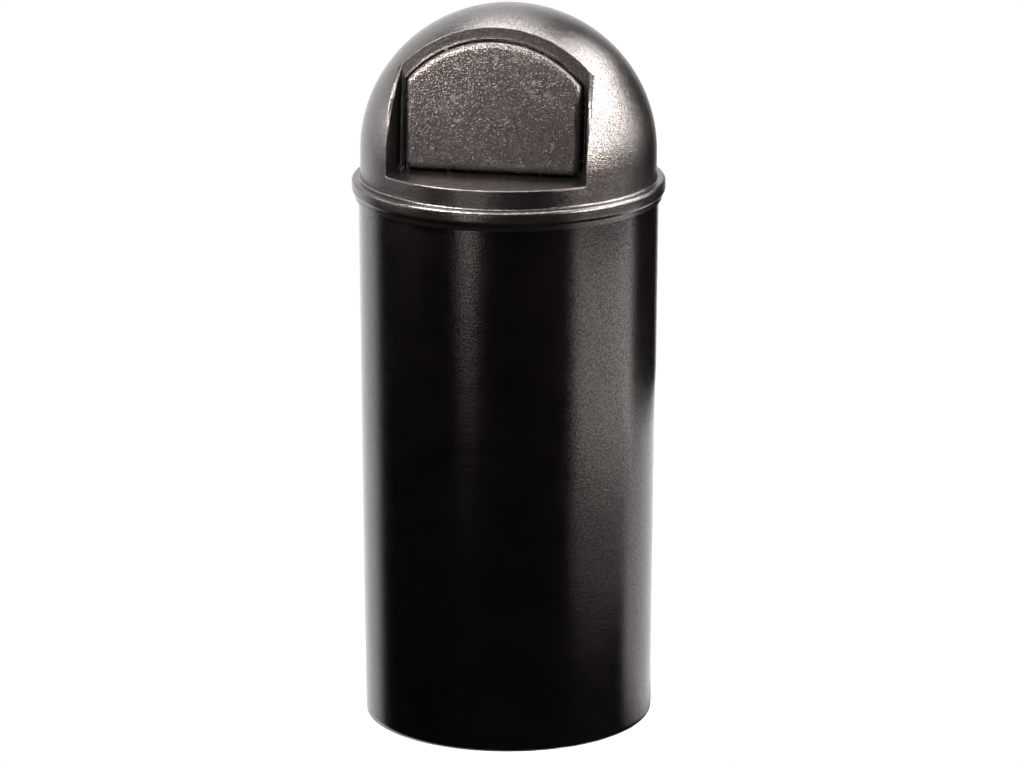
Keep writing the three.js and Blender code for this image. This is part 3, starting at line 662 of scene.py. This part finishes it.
def build_door(material):
    """Rings from the middle of the panel's front over its shoulder and flange, and back inside."""
    panel = (OPENING_RADIUS - DOOR_GAP, OPENING_HALF - DOOR_GAP, SHELF_HEIGHT + DOOR_GAP)
    flange = (OPENING_RADIUS + DOOR_OVERLAP, OPENING_HALF + DOOR_SIDE_OVERLAP,
              SHELF_HEIGHT - DOOR_SIDE_OVERLAP)
    rings = []

    def inset_outline(shape, inset, corner):
        radius, half, foot = shape
        return arched_outline(radius - inset, half - inset, foot + inset, corner)

    def ring(inset, depth, corner, shape=panel):
        outline = inset_outline(shape, inset, corner)
        rings.append(face_point(outline[:, 0], outline[:, 1], depth))

    front = inset_outline(panel, DOOR_SHOULDER, PANEL_CORNER)
    middle = front.mean(axis=0)
    for share in (0.15, 0.4, 0.7, 0.9):
        outline = middle + (front - middle) * share
        rings.append(face_point(outline[:, 0], outline[:, 1], DOOR_PROUD))
    ring(DOOR_SHOULDER + 1.2, DOOR_PROUD, PANEL_CORNER)
    for turn in np.linspace(0, math.pi / 2, 9):
        inset = DOOR_SHOULDER * (1 - math.sin(turn))
        ring(inset, DOOR_PROUD - DOOR_SHOULDER * (1 - math.cos(turn)), DOOR_CORNER - inset)
    for inset, step in [(0, 2), (0, 0.8), (-0.3, 0.15), (-1.0, 0)]:
        ring(inset, FLANGE_FRONT + step, DOOR_CORNER)
    for inset, step in [(0.5, 0), (0.1, -0.15), (0, -0.6)]:
        ring(inset, FLANGE_FRONT + step, FLANGE_CORNER, flange)
    for inset, step in [(0, 0.4), (0.3, 0)]:
        ring(inset, FLANGE_BACK + step, FLANGE_CORNER, flange)
    inner_corner = DOOR_CORNER - DOOR_SHELL
    inner_shoulder = DOOR_SHOULDER - DOOR_SHELL
    ring(DOOR_SHELL, FLANGE_BACK, inner_corner)
    for turn in np.linspace(math.pi / 2, 0, 6):
        inset = inner_shoulder * (1 - math.sin(turn))
        ring(DOOR_SHELL + inset, DOOR_PROUD - DOOR_SHELL - inner_shoulder * (1 - math.cos(turn)),
             inner_corner - inset)
    door = make_object("moulded_door", np.concatenate(rings) + CENTRE,
                       capped_faces(len(rings), len(rings[0])), material)
    stands_for(door, "door", "lid_plastic", "push_door")


# ---- Steel pieces behind the face ------------------------
# Heads are [radius, height] from the middle out. The push nut is [radius, distance along the
# rod] round its section.

RIVET_HEAD = [(0, 0.9), (1.0, 0.87), (1.7, 0.74), (2.3, 0.5), (2.7, 0.24), (2.9, 0)]
SCREW_HEAD = [(0, 1.5), (1.3, 1.6), (1.6, 2.4), (2.3, 2.35), (3.1, 1.9), (3.5, 1.2), (3.5, 0)]
PUSH_NUT = [(3.3, 0.1), (3.4, 0), (4.4, 0), (4.5, 0.1), (4.5, 0.5), (4.3, 0.8), (3.6, 1.5),
            (3.3, 1.45)]


def lathed(name, start, axis, profile, material, ring=False):
    """A turned piece. Its profile is [radius, distance along the axis from start], and a ring's
    profile closes on itself instead of ending on the axis."""
    axis = np.array(axis)
    across = np.cross(axis, [0, SIN, COS] if abs(axis[0]) > 0.5 else [1.0, 0, 0])
    third = np.cross(axis, across)
    turn = np.linspace(0, 2 * math.pi, PIN_SEGMENTS, endpoint=False)[:, None]
    rows = [start + place * axis + radius * (np.cos(turn) * across + np.sin(turn) * third)
            for radius, place in profile]
    faces = grid_faces(len(rows), PIN_SEGMENTS, close_rows=ring)
    return make_object(name, np.concatenate(rows), faces, material)


def stud(node, profile, material, arc_radius=None, kind="turned"):
    """A turned piece in a CAD node's place, square to the face, with depths in its profile. Its
    height is the node's, or that of an arc about the dome's centre at the node's x."""
    low, high = (np.array(millimetres(corner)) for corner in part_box(node))
    x, y, z = (low + high) / 2 - CENTRE
    height = math.sqrt(arc_radius ** 2 - x ** 2) if arc_radius else y * SIN + z * COS
    start = face_point(x, height, 0) + CENTRE
    return lathed(f"{node}_{kind}", start, [0, -COS, SIN], profile, material)


def rivet_profile(back, front):
    return ([(r, back - h) for r, h in RIVET_HEAD] + [(RIVET_RADIUS, back), (RIVET_RADIUS, front)]
            + [(r, front + h) for r, h in reversed(RIVET_HEAD)])


def build_rivet(node, back, front, material):
    stands_for(stud(node, rivet_profile(back, front), material), "door", "hinge_steel", node)


def build_screw(node, plastic, steel):
    """A screw and the lid's blind boss round it, whose foot runs into the face."""
    bore, bore_depth, edge = 1.6, 4.4, 0.3
    boss = [(0, BOSS_END + bore_depth), (bore, BOSS_END + bore_depth), (bore, BOSS_END + edge),
            (bore + edge, BOSS_END), (BOSS_RADIUS - edge, BOSS_END), (BOSS_RADIUS, BOSS_END + edge),
            (BOSS_RADIUS, FACE_BACK), (BOSS_RADIUS + 0.8, FACE_BACK + 0.6)]
    stands_for(stud(node, boss, plastic, BOSS_ARC, "screw_boss"), "lid", "lid_plastic")
    seat = BRACKET_BACK - SEAT
    tip = BOSS_END + SCREW_THREAD
    profile = [(r, seat - h) for r, h in SCREW_HEAD]
    profile += [(SCREW_RADIUS, seat), (SCREW_RADIUS, tip - 0.5), (0, tip)]
    stands_for(stud(node, profile, steel, BOSS_ARC), "lid", "hinge_steel", node)


def at_axle(points):
    """Places from [x, depth, height] relative to the middle of the rod."""
    points = np.array(points)
    return face_point(points[:, 0], AXIS_HEIGHT + points[:, 2],
                      AXIS_DEPTH + points[:, 1]) + CENTRE


def build_push_nut(side, sign, material):
    node = f"push_nut_{side}"
    start = at_axle([(sign * NUT_INNER, 0, 0)])[0]
    nut = lathed(f"{node}_turned", start, [sign, 0, 0], PUSH_NUT, material, ring=True)
    stands_for(nut, "lid", "hinge_steel", node)


def build_rod(material):
    edge, length = 0.7, 2 * ROD_HALF_LENGTH
    profile = [(0, 0), (ROD_RADIUS - edge, 0), (ROD_RADIUS, edge), (ROD_RADIUS, length - edge),
               (ROD_RADIUS - edge, length), (0, length)]
    start = at_axle([(-ROD_HALF_LENGTH, 0, 0)])[0]
    rod = lathed("rod_turned", start, [1, 0, 0], profile, material)
    stands_for(rod, "lid", "hinge_steel", "hinge_rod")


def tube(name, points, radius, material):
    """A round wire along points, with rounded ends."""
    end_shrink, end_length = 0.7 * radius, 0.3 * radius
    points = np.array(points)
    tangents = np.gradient(points, axis=0)
    tangents /= np.linalg.norm(tangents, axis=1, keepdims=True)
    side = np.cross(tangents[0], [0.3, 0.5, 0.8])
    turn = np.linspace(0, 2 * math.pi, WIRE_SIDES, endpoint=False)[:, None]
    rings = []
    for tangent in tangents:
        side = side - tangent * (side @ tangent)
        side /= np.linalg.norm(side)
        rings.append(np.cos(turn) * side + np.sin(turn) * np.cross(tangent, side))
    rows = [point + radius * ring for point, ring in zip(points, rings)]
    rows[0] = rows[0] + end_length * tangents[0]
    rows[-1] = rows[-1] - end_length * tangents[-1]
    start = [points[0] + 0 * rings[0], points[0] + end_shrink * rings[0]]
    end = [points[-1] + end_shrink * rings[-1], points[-1] + 0 * rings[-1]]
    rows = start + rows + end
    return make_object(name, np.concatenate(rows), grid_faces(len(rows), WIRE_SIDES), material)


def bent(points, radius):
    """A path with its corners rounded."""
    points = [np.array(point, float) for point in points]
    path = [points[0]]
    for before, corner, after in zip(points, points[1:], points[2:]):
        path += rounded(before, corner, after, radius, BEND_STEPS)
    return path + [points[-1]]


def coil(sign, first, last):
    """Places in the axle's frame on the spring's turns, counted from its inner end."""
    turns = np.arange(first, last + 0.001, 1 / COIL_STEPS)
    angle = 2 * math.pi * (turns - SPRING_TURNS)
    return [(sign * (SPRING_START + SPRING_LENGTH * turn / SPRING_TURNS),
             SPRING_RADIUS * math.cos(a), SPRING_RADIUS * math.sin(a))
            for turn, a in zip(turns, angle)]


def build_spring(side, sign, material):
    """The turns on the lid, with a short leg against the face, and the long leg on the door."""
    parting = 0.35          # turns that go with the long leg
    wire = SPRING_WIRE / 2
    outer = sign * (SPRING_START + SPRING_LENGTH)
    turns = coil(sign, parting, SPRING_TURNS - 0.02)
    up = [(outer, SPRING_RADIUS + 0.6, 0.8), (outer, FACE_BACK - SPRING_WIRE - AXIS_DEPTH, 3.4)]
    stands_for(tube(f"spring_turns_{side}", at_axle(turns + up), wire, material),
               "lid", "hinge_steel", f"door_spring_{side}")
    inner = sign * SPRING_START
    leg_depth = PLATE_BACK - SEAT - wire - AXIS_DEPTH
    down = bent([(inner, leg_depth + 0.2, -6), (inner, leg_depth, -14),
                 (inner, leg_depth, -SPRING_ARM)], 3)
    leg = at_axle(coil(sign, 0, parting + 0.01)[::-1] + down)
    stands_for(tube(f"spring_leg_{side}", leg, wire - 0.02, material), "door", "hinge_steel")


# ---- Materials -------------------------------------------

class Shader:
    """Shorthand for building one procedural material's nodes. Sizes and depths are in metres."""

    def __init__(self, name):
        self.material = bpy.data.materials.new(name)
        self.material.use_nodes = True
        self.nodes = self.material.node_tree.nodes
        self.links = self.material.node_tree.links
        self.surface = self.nodes["Principled BSDF"]
        self.place = self.nodes.new("ShaderNodeTexCoord").outputs["Object"]

    def link(self, source, target):
        self.links.new(source, target)

    def drive(self, name, source):
        """Links a socket of the surface."""
        self.link(source, self.surface.inputs[name])

    def stretched(self, scale):
        node = self.nodes.new("ShaderNodeMapping")
        node.inputs["Scale"].default_value = scale
        self.link(self.place, node.inputs["Vector"])
        return node.outputs["Vector"]

    def noise(self, size, detail=3.0, roughness=0.5, place=None):
        """Noise whose lumps are about the given size."""
        node = self.nodes.new("ShaderNodeTexNoise")
        node.inputs["Scale"].default_value = 1 / size
        node.inputs["Detail"].default_value = detail
        node.inputs["Roughness"].default_value = roughness
        self.link(place or self.place, node.inputs["Vector"])
        return node.outputs["Fac"]

    def cells(self, size):
        node = self.nodes.new("ShaderNodeTexVoronoi")
        node.feature = "SMOOTH_F1"
        node.inputs["Scale"].default_value = 1 / size
        node.inputs["Smoothness"].default_value = 0.6
        self.link(self.place, node.inputs["Vector"])
        return node.outputs["Distance"]

    def ranged(self, value, low, high, to_low, to_high):
        node = self.nodes.new("ShaderNodeMapRange")
        limits = {"From Min": low, "From Max": high, "To Min": to_low, "To Max": to_high}
        for name, number in limits.items():
            node.inputs[name].default_value = number
        self.link(value, node.inputs["Value"])
        return node.outputs["Result"]

    def mixed(self, factor, first, second):
        """A colour between two."""
        node = self.nodes.new("ShaderNodeMix")
        node.data_type = "RGBA"
        node.inputs["A"].default_value = (*first, 1)
        node.inputs["B"].default_value = (*second, 1)
        self.link(factor, node.inputs["Factor"])
        return node.outputs["Result"]

    def bump(self, height, depth, under=None):
        """A bump whose full height is depth."""
        node = self.nodes.new("ShaderNodeBump")
        node.inputs["Distance"].default_value = depth
        node.inputs["Strength"].default_value = 1.0
        self.link(height, node.inputs["Height"])
        if under is not None:
            self.link(under, node.inputs["Normal"])
        return node.outputs["Normal"]

    def calculated(self, operation, first, second):
        node = self.nodes.new("ShaderNodeMath")
        node.operation = operation
        self.link(first, node.inputs[0])
        self.link(second, node.inputs[1])
        return node.outputs[0]

    def either(self, factor, first, second):
        """The first shader where the factor is 0, and the second where it is 1."""
        node = self.nodes.new("ShaderNodeMixShader")
        self.link(factor, node.inputs["Fac"])
        self.link(first, node.inputs[1])
        self.link(second, node.inputs[2])
        return node.outputs[0]


def moulded_plastic(name, dark, light, rough, grain, sheen, grain_foot=0.0):
    """Black moulded polyethylene with a grain of (cell size, depth), which is shallower below the
    height of its foot. Its sheen is the specular level in the grain's hollows and on its tops."""
    shader = Shader(name)
    tone = shader.noise(0.06, detail=5.0, roughness=0.6)
    shader.drive("Base Color", shader.mixed(shader.ranged(tone, 0.35, 0.65, 0, 1), dark, light))
    patches = shader.noise(0.025, detail=6.0, roughness=0.65)
    shader.drive("Roughness", shader.ranged(patches, 0.3, 0.7, *rough))
    size, depth = grain
    flow = shader.bump(shader.noise(0.11, detail=2.0), 0.0006)
    pebbles = shader.bump(shader.cells(size), depth, under=flow)
    fine = shader.bump(shader.noise(size * 0.5, detail=2.0), depth * 0.4, under=pebbles)
    split = shader.nodes.new("ShaderNodeSeparateXYZ")
    shader.link(shader.place, split.inputs[0])
    strength = shader.ranged(split.outputs["Z"], grain_foot - 0.012, grain_foot, 0.3, 1)
    for node in shader.nodes:
        if node.type == "BUMP" and node.inputs["Normal"].is_linked:
            shader.link(strength, node.inputs["Strength"])
    shader.drive("Normal", fine)
    hollows = shader.noise(size * 1.1, detail=1.0)
    shader.drive("Specular IOR Level", shader.ranged(hollows, 0.4, 0.6, *sheen))
    shader.surface.inputs["IOR"].default_value = 1.5
    shader.surface.inputs["Specular Tint"].default_value = (1.0, 0.87, 0.81, 1)
    return shader.material


def zinc_steel():
    shader = Shader("zinc_plated_steel")
    brushed = shader.noise(0.0006, detail=2.0, place=shader.stretched((0.15, 1, 1)))
    spangle = shader.ranged(shader.noise(0.004, detail=3.0), 0.3, 0.7, 0, 1)
    shader.drive("Base Color", shader.mixed(spangle, (0.42, 0.43, 0.45), (0.56, 0.57, 0.58)))
    shader.drive("Roughness", shader.ranged(brushed, 0.3, 0.7, 0.26, 0.4))
    shader.drive("Normal", shader.bump(brushed, 0.00002))
    shader.surface.inputs["Metallic"].default_value = 1.0
    return shader.material


def bumper_rubber():
    shader = Shader("bumper_rubber")
    bloom = shader.noise(0.003, detail=4.0)
    shader.drive("Base Color", shader.mixed(bloom, (0.012, 0.012, 0.012), (0.03, 0.029, 0.028)))
    shader.drive("Roughness", shader.ranged(bloom, 0.3, 0.7, 0.7, 0.9))
    shader.drive("Normal", shader.bump(shader.noise(0.0004), 0.00002))
    return shader.material


# ---- Dressing --------------------------------------------

BODY_PLASTIC = moulded_plastic(
    "container_plastic", dark=(0.0007, 0.0005, 0.0005), light=(0.0013, 0.0010, 0.0009),
    rough=(0.14, 0.2), grain=(0.0024, 0.00014), sheen=(0.32, 0.7))
LID_PLASTIC = moulded_plastic(
    "lid_plastic", dark=(0.0018, 0.0015, 0.0014), light=(0.0034, 0.0028, 0.0026),
    rough=(0.2, 0.26), grain=(0.0019, 0.00036), sheen=(0.36, 0.84), grain_foot=FLANGE_TOP * MM)
DOOR_PLASTIC = moulded_plastic(
    "door_plastic", dark=(0.0025, 0.0021, 0.002), light=(0.005, 0.0042, 0.004),
    rough=(0.25, 0.28), grain=(0.0016, 0.00065), sheen=(0.22, 1.0))
STEEL = zinc_steel()
RUBBER = bumper_rubber()
SIDES = (("left", -1), ("right", 1))

build_container(BODY_PLASTIC)
build_lid(LID_PLASTIC)
build_sill(LID_PLASTIC)
build_door(DOOR_PLASTIC)
for side, sign in SIDES:
    build_spring(side, sign, STEEL)
for side, sign in SIDES:
    for place in ("lower", "upper", "foot", "arch"):
        build_rivet(f"door_rivet_{place}_{side}", PLATE_BACK - SEAT, FLANGE_FRONT + SEAT, STEEL)
    for place in ("inner", "outer"):
        build_screw(f"bracket_screw_{place}_{side}", LID_PLASTIC, STEEL)
    build_push_nut(side, sign, STEEL)
for place in ("left", "middle", "right"):
    build_rivet(f"leaf_rivet_{place}", LEAF_BACK - SEAT, PLATE_FRONT, STEEL)
build_rod(STEEL)

# Pieces that keep their CAD meshes
for name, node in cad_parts.items():
    if name.startswith(("hinge_leaf", "hinge_bracket")):
        node.data.materials[0] = STEEL
    elif name.startswith("bumper"):
        node.data.materials[0] = RUBBER
    elif name == "door_back_plate":
        node.data.materials[0] = BODY_PLASTIC


# ---- Studio, in metres -----------------------------------

FLOOR_REACH = 30.0
FLOOR_DROP = 0.0005                     # keeps the floor clear of the container's foot
SHADOW_REACH, WHITE_REACH = 0.22, 0.42  # where the floor starts to turn white, and is white
SWEEP_AZIMUTH = -146                    # middle of the white sweep that reflections see
SWEEP_EDGE, SWEEP_WHITE = 0.74, 0.84    # cosines of the angle from there
SWEEP_DARK, SWEEP_BRIGHT = 0.003, 1.4
LENS, SENSOR_WIDTH = 198.4, 36          # millimetres
SHIFT_X, SHIFT_Y = 0.0033, 0.0322
CAMERA_DISTANCE, CAMERA_HEIGHT = 8.0, 2.734
CAMERA_AZIMUTH, CAMERA_PITCH = math.radians(11.94), math.radians(15.95)


def toward(azimuth, elevation):
    """A direction out from the object: azimuth 0 is where the door faces, and 90 is +X."""
    a, e = math.radians(azimuth), math.radians(elevation)
    return Vector((math.sin(a) * math.cos(e), -math.cos(a) * math.cos(e), math.sin(e)))


def softbox(name, azimuth, elevation, distance, width, height, radiance, aim=(0, 0, 0.95)):
    data = bpy.data.lights.new(name, "AREA")
    data.shape = "RECTANGLE"
    data.size, data.size_y = width, height
    data.energy = radiance * math.pi * width * height
    obj = new_object(name, data)
    obj.location = Vector(aim) + toward(azimuth, elevation) * distance
    obj.rotation_mode = "QUATERNION"
    obj.rotation_quaternion = (-toward(azimuth, elevation)).to_track_quat("-Z", "Y")


softbox("key_right", 103, 16, 1.8, 1.3, 1.25, 13)
softbox("key_front", 70, 10, 1.3, 0.5, 0.5, 46)
softbox("key_high", 100, 30, 1.3, 0.5, 0.5, 27)
softbox("key_back", 129, 38, 1.3, 0.5, 0.5, 24)
softbox("top_back", -168, 50, 1.9, 1.0, 0.8, 3.5)
softbox("overhead", 168, 76, 1.5, 1.6, 0.6, 26)
softbox("overhead_strip", -10, 55, 1.4, 1.6, 0.12, 60)
softbox("front_left", -45, 32, 0.7, 0.3, 0.3, 80, aim=(-0.02, 0, 0.97))
softbox("front", -25, 36, 0.8, 0.3, 0.3, 20)
softbox("left", -90, 10, 1.3, 0.5, 0.5, 6)
softbox("panel_left", -72, 0, 2.0, 1.3, 0.9, 4.5, aim=(0, 0, 1.02))
softbox("panel_right", 88, 0, 1.2, 1.25, 0.42, 2.5, aim=(0, 0, 0.30))
softbox("panel_corner", 85, 0, 1.2, 1.2, 0.22, 0.7, aim=(0, 0, -0.03))
softbox("panel_low", 146, 0, 1.25, 1.7, 0.55, 1.5, aim=(0, 0, -0.14))
softbox("edge_strip", -15, 0, 2.2, 0.45, 0.34, 12, aim=(0, 0, 0.78))
softbox("front_strip", -18, -6, 2.4, 0.5, 0.9, 2.0, aim=(0, 0, 0.75))


def floor_material():
    """Pale, with the shadow near the object, and white to the camera farther away. It is clear
    to reflections and to lamps from below, so that the panels may reach down past it."""
    shader = Shader("pale_floor")
    rays = shader.nodes.new("ShaderNodeLightPath").outputs
    distance = shader.nodes.new("ShaderNodeVectorMath")
    distance.operation = "LENGTH"
    shader.link(shader.place, distance.inputs[0])
    away = shader.ranged(distance.outputs["Value"], SHADOW_REACH, WHITE_REACH, 0, 1)
    tone = shader.mixed(shader.noise(0.4, detail=2.0), (0.60, 0.60, 0.60), (0.62, 0.62, 0.62))
    pale = shader.nodes.new("ShaderNodeBsdfDiffuse")
    shader.link(tone, pale.inputs["Color"])
    white = shader.nodes.new("ShaderNodeEmission")
    seen = shader.calculated("MULTIPLY", away, rays["Is Camera Ray"])
    floor = shader.either(seen, pale.outputs[0], white.outputs[0])
    through = shader.calculated("MAXIMUM", rays["Is Glossy Ray"], rays["Is Shadow Ray"])
    clear = shader.nodes.new("ShaderNodeBsdfTransparent")
    shader.link(shader.either(through, floor, clear.outputs[0]),
                shader.nodes["Material Output"].inputs["Surface"])
    return shader.material


def build_floor():
    mesh = bpy.data.meshes.new("floor")
    corners = [(-1, -1), (1, -1), (1, 1), (-1, 1)]
    mesh.from_pydata([(x * FLOOR_REACH, y * FLOOR_REACH, 0) for x, y in corners],
                     [], [(0, 1, 2, 3)])
    mesh.materials.append(floor_material())
    obj = new_object("floor", mesh)
    obj.location.z = -FLOOR_DROP


def build_world():
    """White where the camera looks, and in reflections a white sweep behind and to the left."""
    world = bpy.data.worlds.new("studio")
    world.use_nodes = True
    bpy.context.scene.world = world
    nodes, links = world.node_tree.nodes, world.node_tree.links
    behind_left = nodes.new("ShaderNodeVectorMath")
    behind_left.operation = "DOT_PRODUCT"
    links.new(nodes.new("ShaderNodeTexCoord").outputs["Generated"], behind_left.inputs[0])
    behind_left.inputs[1].default_value = toward(SWEEP_AZIMUTH, 0)
    sweep = nodes.new("ShaderNodeMapRange")
    for name, value in (("From Min", SWEEP_EDGE), ("From Max", SWEEP_WHITE),
                        ("To Min", SWEEP_DARK), ("To Max", SWEEP_BRIGHT)):
        sweep.inputs[name].default_value = value
    links.new(behind_left.outputs["Value"], sweep.inputs["Value"])
    strength = nodes.new("ShaderNodeMath")
    strength.operation = "MAXIMUM"
    links.new(nodes.new("ShaderNodeLightPath").outputs["Is Camera Ray"], strength.inputs[0])
    links.new(sweep.outputs["Result"], strength.inputs[1])
    background = nodes["Background"]
    links.new(strength.outputs[0], background.inputs["Strength"])
    background.inputs["Color"].default_value = (1, 1, 1, 1)


def build_camera():
    """The photograph's view: a little above, from the right of the door, with a long lens."""
    data = bpy.data.cameras.new("camera")
    data.lens, data.sensor_width = LENS, SENSOR_WIDTH
    data.shift_x, data.shift_y = SHIFT_X, SHIFT_Y
    data.clip_end = 100
    camera = new_object("camera", data)
    camera.location = (CAMERA_DISTANCE * math.sin(CAMERA_AZIMUTH),
                       -CAMERA_DISTANCE * math.cos(CAMERA_AZIMUTH), CAMERA_HEIGHT)
    camera.rotation_euler = (math.pi / 2 - CAMERA_PITCH, 0, CAMERA_AZIMUTH)
    bpy.context.scene.camera = camera


build_floor()
build_world()
build_camera()
bpy.context.scene.view_settings.view_transform = "Standard"
